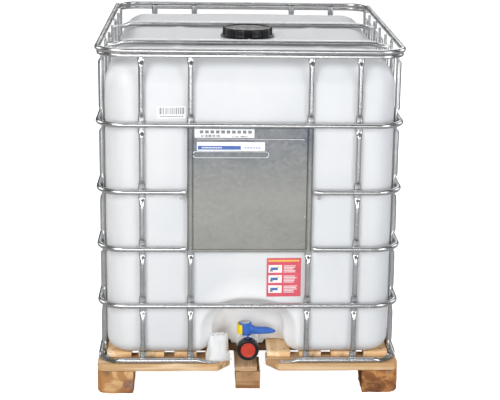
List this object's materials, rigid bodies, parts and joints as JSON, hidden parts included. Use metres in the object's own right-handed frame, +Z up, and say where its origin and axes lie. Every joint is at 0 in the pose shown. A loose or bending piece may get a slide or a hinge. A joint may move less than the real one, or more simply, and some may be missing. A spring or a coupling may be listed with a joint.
{
  "type": "intermediate bulk container",
  "caption": "Caged bulk liquid container: blow-moulded bottle in a galvanised tube cage on a timber pallet, with a screw fill cap, label plate and a capped lever outlet valve.",
  "frame": {"origin": "centre of the footprint on the floor", "axes": "+Z up, -Y towards the valve side, +X to the right seen from the valve side"},
  "size_m": [1, 1.2, 1.16],
  "materials": {
    "timber_board": "sawn pine, unfinished",
    "timber_block": "chipped timber block, stained",
    "nail_steel": "dull nail heads",
    "galvanised_tube": "hot-dip galvanised, semi gloss",
    "galvanised_sheet": "galvanised sheet, satin, fine spangle",
    "screw_steel": "bright zinc plated",
    "bottle_polyethylene": "blow-moulded natural white, soft satin",
    "label_white": "printed film, satin",
    "label_red": "printed film, satin",
    "cap_black": "moulded, satin",
    "seal_rubber": "matt",
    "valve_white": "moulded natural white",
    "handle_blue": "moulded, semi gloss",
    "badge_clear": "pale moulded badge",
    "clip_yellow": "moulded, semi gloss",
    "disc_red": "moulded, semi gloss",
    "bag_film": "thin translucent film"
  },
  "bodies": {
    "container": {"accessory_bag": "bag_film", "bottle": "bottle_polyethylene", "bottle_barcode_label": "label_white", "bottle_instruction_label": "label_red", "bottom_ring": "galvanised_tube", "bottom_ring_screws": "screw_steel", "cage_posts_front": "galvanised_tube", "cage_posts_left": "galvanised_tube", "cage_posts_rear": "galvanised_tube", "cage_posts_right": "galvanised_tube", "cage_ring_1": "galvanised_tube", "cage_ring_2": "galvanised_tube", "cage_ring_3": "galvanised_tube", "cage_ring_4": "galvanised_tube", "centre_stringer": "timber_board", "crossbar_front": "galvanised_tube", "crossbar_rear": "galvanised_tube", "crossbar_screws": "screw_steel", "deck_board_left_1": "timber_board", "deck_board_left_2": "timber_board", "deck_board_left_3": "timber_board", "deck_board_left_4": "timber_board", "deck_board_right_1": "timber_board", "deck_board_right_2": "timber_board", "deck_board_right_3": "timber_board", "deck_board_right_4": "timber_board", "deck_nails": "nail_steel", "fill_cap_seal_tab": "valve_white", "front_block_centre": "timber_block", "front_block_left": "timber_block", "front_block_right": "timber_block", "front_cross_board_left": "timber_board", "front_cross_board_right": "timber_board", "handle_seal_strip": "handle_blue", "label_plate": "galvanised_sheet", "middle_blocks": "timber_block", "middle_cross_board": "timber_board", "plate_hooks": "galvanised_sheet", "plate_pocket_label": "label_white", "plate_serial_label": "label_white", "rail_stiffener_front": "galvanised_tube", "rail_stiffener_rear": "galvanised_tube", "rear_blocks": "timber_block", "rear_cross_board": "timber_board", "stem_seal": "seal_rubber", "top_rail": "galvanised_tube", "valve_body": "valve_white", "valve_cross_board": "timber_board", "valve_gasket": "seal_rubber", "valve_union_nut": "valve_white"},
    "fill_cap_carrier": {"fill_cap_gasket": "seal_rubber"},
    "fill_cap": {"fill_cap": "cap_black"},
    "valve_handle": {"valve_handle": "handle_blue", "valve_stem": "valve_white", "valve_disc": "valve_white", "handle_badge": "badge_clear"},
    "safety_clip": {"safety_clip": "clip_yellow"},
    "outlet_cap_carrier": {"outlet_cap_gasket": "seal_rubber"},
    "outlet_cap": {"outlet_cap": "cap_black", "outlet_cap_disc": "disc_red"}
  },
  "joints": [
    {"name": "fill_cap_lift", "type": "slide", "parent": "container", "child": "fill_cap_carrier", "axis": [0, 0, 1], "range_m": [0, 0.013]},
    {"name": "fill_cap_turn", "type": "hinge", "parent": "fill_cap_carrier", "child": "fill_cap", "pos_m": [0, -0.09, 1.14], "axis": [0, 0, 1], "range_deg": [0, 720]},
    {"name": "valve_turn", "type": "hinge", "parent": "container", "child": "valve_handle", "pos_m": [0, -0.505, 0.19], "axis": [0, 0, 1], "range_deg": [-90, 0]},
    {"name": "safety_clip_pull", "type": "slide", "parent": "valve_handle", "child": "safety_clip", "axis": [-1, 0, 0], "range_m": [0, 0.012]},
    {"name": "outlet_cap_advance", "type": "slide", "parent": "container", "child": "outlet_cap_carrier", "axis": [0, -1, 0], "range_m": [0, 0.011]},
    {"name": "outlet_cap_turn", "type": "hinge", "parent": "outlet_cap_carrier", "child": "outlet_cap", "pos_m": [0, -0.545, 0.1355], "axis": [0, -1, 0], "range_deg": [0, 720]}
  ],
  "couplings": [
    {"joint": "fill_cap_lift", "follows": "fill_cap_turn", "m_per_rad": 0.00095493},
    {"joint": "outlet_cap_advance", "follows": "outlet_cap_turn", "m_per_rad": 0.00079577}
  ]
}
